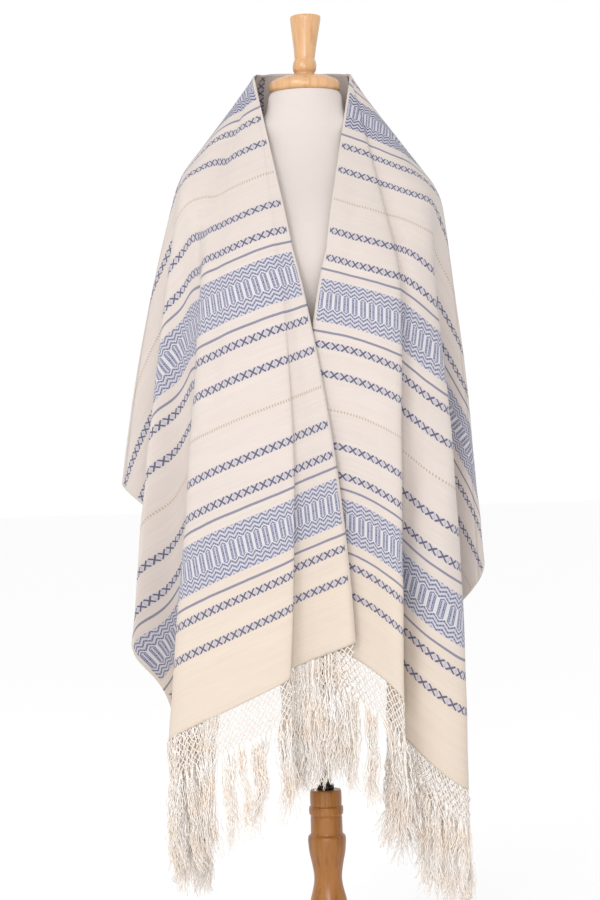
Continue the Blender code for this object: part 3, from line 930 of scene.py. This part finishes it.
def figured_band(n, s, v, across, from_middle_back):
    """A band's colour, its zigzags and its dots.

    It has two and a half rows of chevrons either side of a row of long hexagons.
    """
    level = n.math("ADD", s, n.both(across, 2.0 * CHEVRON_RISE))
    outside = n.above(level, CHEVRONS_FROM)
    chevron = n.repeated(n.math("SUBTRACT", level, CHEVRONS_FROM), CHEVRON_STEP)
    zigzag = n.both(n.below(chevron, CHEVRON_FILL), outside)
    hexagon = n.both(n.below(across, HEXAGON_HALF), n.below(level, HEXAGON_END))
    core = n.both(n.below(across, CORE_HALF), n.below(level, CORE_END))
    rail = n.below(n.away(across, RAIL_AT), RAIL_HALF)
    spaced = n.below(n.repeated(s, RAIL_STITCH), RAIL_STITCH_FILL)
    dots = n.both(n.both(rail, spaced), n.below(level, RAIL_END))
    stitched = n.below(n.repeated(v, CHEVRON_STITCH), CHEVRON_STITCH_FILL)
    band = n.mix(n.both(outside, 0.40), BAND_GROUND, LAVENDER)
    band = n.mix(n.both(zigzag, n.spread(stitched, 0.0, 1.0, 0.62, 1.0)), band, SLATE)
    band = n.mix(n.both(hexagon, 0.92), band, SLATE)
    # painted shade: the band's ground and figures are darker near the neck, on the shoulders
    painted_shoulder_shade = n.spread(from_middle_back, 0.35, 0.55, 0.75, 0.0)
    band = n.mix(n.both(painted_shoulder_shade, 0.45), band, LAVENDER)
    band = n.mix(n.both(painted_shoulder_shade, n.math("MAXIMUM", zigzag, hexagon)), band, NAVY)
    band = n.mix(core, band, PALE_CORE)
    return n.mix(dots, band, NAVY), zigzag, dots


def cross_rows(n, s, across, inside, colour):
    """Rows of small crosses laid over the colour, with a paler dot between each two."""
    from_middle = n.away(s, CROSS_ROWS_MIDDLE)
    row = n.math("DIVIDE", n.away(from_middle, CROSS_ROWS_APART), CROSS_STITCH_ALONG)
    column = n.both(across, MOTIF_PITCH / CROSS_STITCH_ACROSS)
    in_row = n.both(n.below(row, CROSS_REACH), inside)
    diagonal = n.below(n.away(row, column), CROSS_STROKE)
    cross = n.both(n.both(diagonal, in_row), n.below(column, CROSS_REACH))
    accent = n.both(n.both(n.above(column, CROSS_REACH), n.below(row, ACCENT_REACH)), in_row)
    colour = n.mix(n.both(in_row, 0.36), colour, LAVENDER)
    colour = n.mix(n.both(accent, 0.65), colour, LAVENDER)
    filled = n.below(n.repeated(s, CROSS_BREAK), CROSS_BREAK_FILL)
    stroke = n.spread(filled, 0.0, 1.0, 0.70, 0.97)
    return n.mix(n.both(cross, stroke), colour, NAVY), cross


def woven_cotton():
    """Plain weave with the shawl's bands, worked out in the flat cloth's measurements."""
    n = Nodes("woven_cotton_bands")
    flat = n.add("ShaderNodeUVMap", uv_map="flat_cloth").outputs[0]
    split = n.add("ShaderNodeSeparateXYZ")
    n.put(split.inputs[0], flat)
    u, v = split.outputs[0], split.outputs[1]
    wander = n.both(n.math("SUBTRACT", n.noise(flat, 45.0, 2.0), 0.5), THREAD_WANDER)
    from_middle_back = n.math("ABSOLUTE", u)
    from_end = n.math("SUBTRACT", HALF_LENGTH, n.math("ADD", from_middle_back, wander))
    inside = n.both(n.above(v, PLAIN_SELVEDGE), n.below(v, CLOTH_WIDTH - PLAIN_SELVEDGE))

    # s runs from the middle of a band to halfway to the next, and across from the middle
    # of a motif to halfway to the next
    s = n.math("PINGPONG", n.math("SUBTRACT", from_end, FIRST_BAND), REPEAT_HALF)
    across = n.away(n.repeated(v, MOTIF_PITCH), 0.5)

    slub = n.noise(n.stretch(flat, (260.0, 9.0, 1.0)), 1.0, 3.0)
    band, zigzag, dots = figured_band(n, s, v, across, from_middle_back)
    in_band = n.both(n.below(s, BAND_HALF), inside)
    colour = n.mix(in_band, plain_weave(n, flat, from_middle_back, slub), band)
    line = n.below(n.away(s, THIN_LINE_AT), THIN_LINE_HALF)
    colour = n.mix(n.both(line, 0.95), colour, LINE_BLUE)
    colour, cross = cross_rows(n, s, across, inside, colour)

    eyelet_row = n.below(n.away(s, REPEAT_HALF), EYELET_HALF)
    eyelet = n.both(eyelet_row, n.below(n.repeated(v, EYELET_STEP), EYELET_FILL))
    eyelet = n.both(n.both(eyelet, n.above(from_end, NO_EYELETS_BELOW)), inside)
    colour = n.mix(n.both(eyelet, 0.78), colour, EYELET_TAN)
    n.put(n.shader.inputs["Base Color"], colour)

    warp = n.math("SINE", n.both(v, 2.0 * math.pi / WARP_STEP))
    weft = n.math("SINE", n.both(u, 2.0 * math.pi / WEFT_STEP))
    weave = n.both(warp, weft)
    figured = n.math("ADD", n.both(in_band, zigzag), n.math("ADD", cross, dots))
    height = n.math("ADD", n.both(weave, 0.25), n.both(figured, 0.5))
    height = n.math("ADD", height, n.both(slub, 0.6))
    height = n.math("SUBTRACT", height, n.both(eyelet, 0.8))
    n.bump(height, 0.45, 0.0005)
    n.shader.inputs["Roughness"].default_value = 0.88
    n.shader.inputs["Specular IOR Level"].default_value = 0.20
    n.shader.inputs["Sheen Weight"].default_value = 0.12
    n.shader.inputs["Sheen Roughness"].default_value = 0.60
    return n.material


def cotton_yarn(name, pale, warm):
    n = Nodes(name)
    place = n.place()
    patch = n.noise(place, 24.0, 2.0)
    twist = n.noise(n.stretch(place, (900.0, 900.0, 420.0)), 1.0, 1.0)
    colour = n.mix(n.spread(patch, 0.3, 0.7), pale, warm)
    colour = n.mix(n.spread(twist, 0.3, 0.7, 0.0, 0.14), colour, YARN_TWIST)
    n.put(n.shader.inputs["Base Color"], colour)
    n.bump(twist, 0.4, 0.0004)
    n.shader.inputs["Roughness"].default_value = 0.92
    n.shader.inputs["Specular IOR Level"].default_value = 0.15
    n.shader.inputs["Sheen Weight"].default_value = 0.35
    return n.material


def form_linen():
    n = Nodes("form_linen_cover")
    place = n.place()
    split = n.add("ShaderNodeSeparateXYZ")
    n.put(split.inputs[0], place)
    thread = n.noise(n.stretch(place, (260.0, 260.0, 1500.0)), 1.0, 2.0)
    across = n.noise(n.stretch(place, (1400.0, 1400.0, 300.0)), 1.0, 2.0)
    patch = n.noise(place, 9.0, 3.0)
    colour = n.mix(n.spread(patch, 0.3, 0.7), LINEN, LINEN_SHADED)
    colour = n.mix(n.spread(thread, 0.35, 0.7, 0.0, 0.16), colour, LINEN_THREAD)
    n.put(n.shader.inputs["Base Color"], colour)
    ripples = n.noise(n.stretch(place, (14.0, 14.0, 70.0)), 1.0, 2.0)
    height = n.math("ADD", n.both(n.math("ADD", thread, across), 0.35), n.both(ripples, 1.2))
    n.bump(height, 0.35, 0.0008)
    n.shader.inputs["Roughness"].default_value = 0.92
    n.shader.inputs["Specular IOR Level"].default_value = 0.20
    return n.material


def turned_wood(name, light, dark, streak, gloss):
    """Varnished wood with its grain along the turning axis."""
    n = Nodes(name)
    place = n.place()
    grain = n.noise(n.stretch(place, (150.0, 150.0, 9.0)), 1.0, 4.0, 0.6)
    pores = n.noise(n.stretch(place, (900.0, 900.0, 40.0)), 1.0, 2.0)
    broad = n.noise(n.stretch(place, (26.0, 26.0, 4.0)), 1.0, 2.0)
    colour = n.mix(n.spread(broad, 0.3, 0.7), light, dark)
    colour = n.mix(n.spread(grain, 0.48, 0.72, 0.0, 0.65), colour, streak)
    colour = n.mix(n.spread(pores, 0.58, 0.75, 0.0, 0.35), colour, streak)
    n.put(n.shader.inputs["Base Color"], colour)
    n.bump(n.math("ADD", grain, n.both(pores, 0.4)), 0.12, 0.0006)
    n.put(n.shader.inputs["Roughness"], n.spread(grain, 0.3, 0.7, gloss, gloss + 0.12))
    n.shader.inputs["Coat Weight"].default_value = 0.14
    n.shader.inputs["Coat Roughness"].default_value = 0.18
    return n.material


def dark_steel():
    n = Nodes("dark_steel_rod")
    place = n.place()
    wear = n.noise(n.stretch(place, (300.0, 300.0, 30.0)), 1.0, 3.0)
    n.put(n.shader.inputs["Base Color"], n.mix(n.spread(wear, 0.4, 0.7), STEEL, STEEL_WORN))
    n.put(n.shader.inputs["Roughness"], n.spread(wear, 0.3, 0.7, 0.32, 0.5))
    n.shader.inputs["Metallic"].default_value = 0.9
    return n.material


def dress(piece, slot, *nodes):
    if nodes:
        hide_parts(*nodes)
    return piece


def make_shawl(cotton, yarn, net):
    sheet, flat = shawl_sheet()
    last = len(sheet) - 1
    left_names = [fold.name for fold in LEFT_FOLDS]
    right_names = [fold.name for fold in RIGHT_FOLDS]
    left_side = FINE_STEPS * left_names.index(SIDE_FOLD)
    right_side = last - FINE_STEPS * right_names.index(SIDE_FOLD)
    normals = sheet_normals(sheet)
    sheet = sheet + normals * (ripple(flat) + crease_height(flat))[..., None]
    normals = sheet_normals(sheet)
    stretches = (
        ("left_front_cloth", 0, left_side, "shawl_left_front", 0.57),
        ("back_cloth", left_side, right_side, "shawl_back", 0.44),
        ("right_front_cloth", right_side, last, "shawl_right_front", 0.51),
    )
    for name, first, final, node, area in stretches:
        cloth = cloth_shell(name, sheet, normals, flat, first, final, cotton)
        dress(cloth, "woven_cotton", node)
    rng = np.random.default_rng(YARN_SEED)
    left_edge = sheet[: FINE_STEPS * left_names.index(LEFT_CORNER) + 1, -1]
    right_edge = sheet[last - FINE_STEPS * right_names.index(RIGHT_CORNER) :, -1]
    fringes = (
        ("left", left_edge, "fringe_left", CURTAIN, LINED),
        ("right", right_edge, "fringe_right", range(0), range(0)),
    )
    for name, edge, node, curtain, lined in fringes:
        rows = net_knots(edge, rng)
        dress(make_net(name + "_net", rows, rng, net), "cotton_yarn", node)
        dress(make_yarns(name + "_yarns", rows[-1], curtain, lined, rng, yarn), "cotton_yarn")


def make_stand():
    linen = form_linen()
    pale = turned_wood("pale_varnished_wood", PALE_WOOD, PALE_WOOD_DARK, PALE_WOOD_STREAK, 0.28)
    orange = turned_wood("orange_varnished_wood", POST_WOOD, POST_WOOD_DARK, POST_WOOD_STREAK, 0.32)
    dress(torso_piece(linen), "form_linen", "dress_form_torso")
    dress(turned_piece("turned_neck_cap", NECK_CAP_OUTLINE, pale), "pale_wood", "neck_cap")
    dress(turned_piece("turned_finial", FINIAL_OUTLINE, pale, lean=FINIAL_LEAN), "pale_wood", "finial")
    collar_foot = POST_TOP + SEAM_GAP
    collar_top = collar_foot + COLLAR_HEIGHT
    rod_outline = [
        (COLLAR_RADIUS - COLLAR_BEVEL, collar_foot),
        (COLLAR_RADIUS, collar_foot + COLLAR_BEVEL),
        (COLLAR_RADIUS, collar_top - COLLAR_BEVEL),
        (COLLAR_RADIUS - COLLAR_BEVEL, collar_top),
        (ROD_RADIUS, collar_top),
        (ROD_RADIUS, TORSO_BOTTOM - SEAM_GAP),
    ]
    dress(turned_piece("steel_rod", rod_outline, dark_steel(), roundings=0), "dark_steel", "rod")
    dress(turned_piece("turned_post", POST_OUTLINE, orange), "post_wood", "post")
    dress(turned_piece("turned_base", BASE_OUTLINE, orange), "post_wood", "base")


def make_stage():
    """A pale floor, an evenly lit white room and two soft lamps."""
    mesh = bpy.data.meshes.new("floor")
    signs = ((-1.0, -1.0), (1.0, -1.0), (1.0, 1.0), (-1.0, 1.0))
    corners = [(FLOOR_REACH * x, FLOOR_REACH * y, 0.0) for x, y in signs]
    mesh.from_pydata(corners, [], [(0, 1, 2, 3)])
    n = Nodes("studio_floor")
    n.shader.inputs["Base Color"].default_value = FLOOR_WHITE
    n.shader.inputs["Roughness"].default_value = 0.9
    mesh.materials.append(n.material)
    floor = bpy.data.objects.new("floor", mesh)
    bpy.context.scene.collection.objects.link(floor)

    world = bpy.data.worlds.new("studio")
    world.use_nodes = True
    world.node_tree.nodes["Background"].inputs["Color"].default_value = (1.0, 1.0, 1.0, 1.0)
    world.node_tree.nodes["Background"].inputs["Strength"].default_value = 1.0
    bpy.context.scene.world = world
    bpy.context.scene.view_settings.view_transform = "Standard"

    for lamp in LAMPS:
        light = bpy.data.lights.new(lamp.name, "AREA")
        light.size = lamp.size
        light.energy = lamp.power
        holder = bpy.data.objects.new(lamp.name, light)
        holder.matrix_world = aimed(lamp.place, lamp.aim)
        bpy.context.scene.collection.objects.link(holder)


def aimed(place, aim):
    """The pose of a lamp at this place that shines at that point."""
    away = np.array(place) - np.array(aim)
    z = away / np.linalg.norm(away)
    x = np.cross((0.0, 0.0, 1.0), z)
    x /= np.linalg.norm(x)
    y = np.cross(z, x)
    turn = Matrix((x, y, z)).transposed().to_4x4()
    return Matrix.Translation(place) @ turn


def make_camera():
    """The photograph's level view, a little rolled, at its measured scale."""
    camera = bpy.data.cameras.new("camera")
    pixels_deep = CAMERA_DISTANCE / METRES_PER_PIXEL
    camera.sensor_fit = "VERTICAL"
    camera.sensor_height = 36.0
    camera.lens = pixels_deep / PHOTO_HEIGHT * camera.sensor_height
    holder = bpy.data.objects.new("camera", camera)
    roll = Matrix.Rotation(CAMERA_ROLL, 4, "Y")
    level = Matrix.Rotation(math.radians(90.0), 4, "X")
    place = Matrix.Translation((CAMERA_X, -CAMERA_DISTANCE, CAMERA_Z))
    holder.matrix_world = place @ roll @ level
    bpy.context.scene.collection.objects.link(holder)
    bpy.context.scene.camera = holder


make_camera()
make_stand()
# painted light: the free yarns get a paler copy of the knotted yarns' cotton
painted_light_free_yarn = cotton_yarn("cotton_yarn_free_painted_light", PAINTED_LIGHT_FREE_YARN, PAINTED_LIGHT_FREE_YARN_WARM)
knotted_yarn = cotton_yarn("cotton_yarn_knotted", KNOTTED_YARN, KNOTTED_YARN_WARM)
make_shawl(woven_cotton(), painted_light_free_yarn, knotted_yarn)
make_stage()
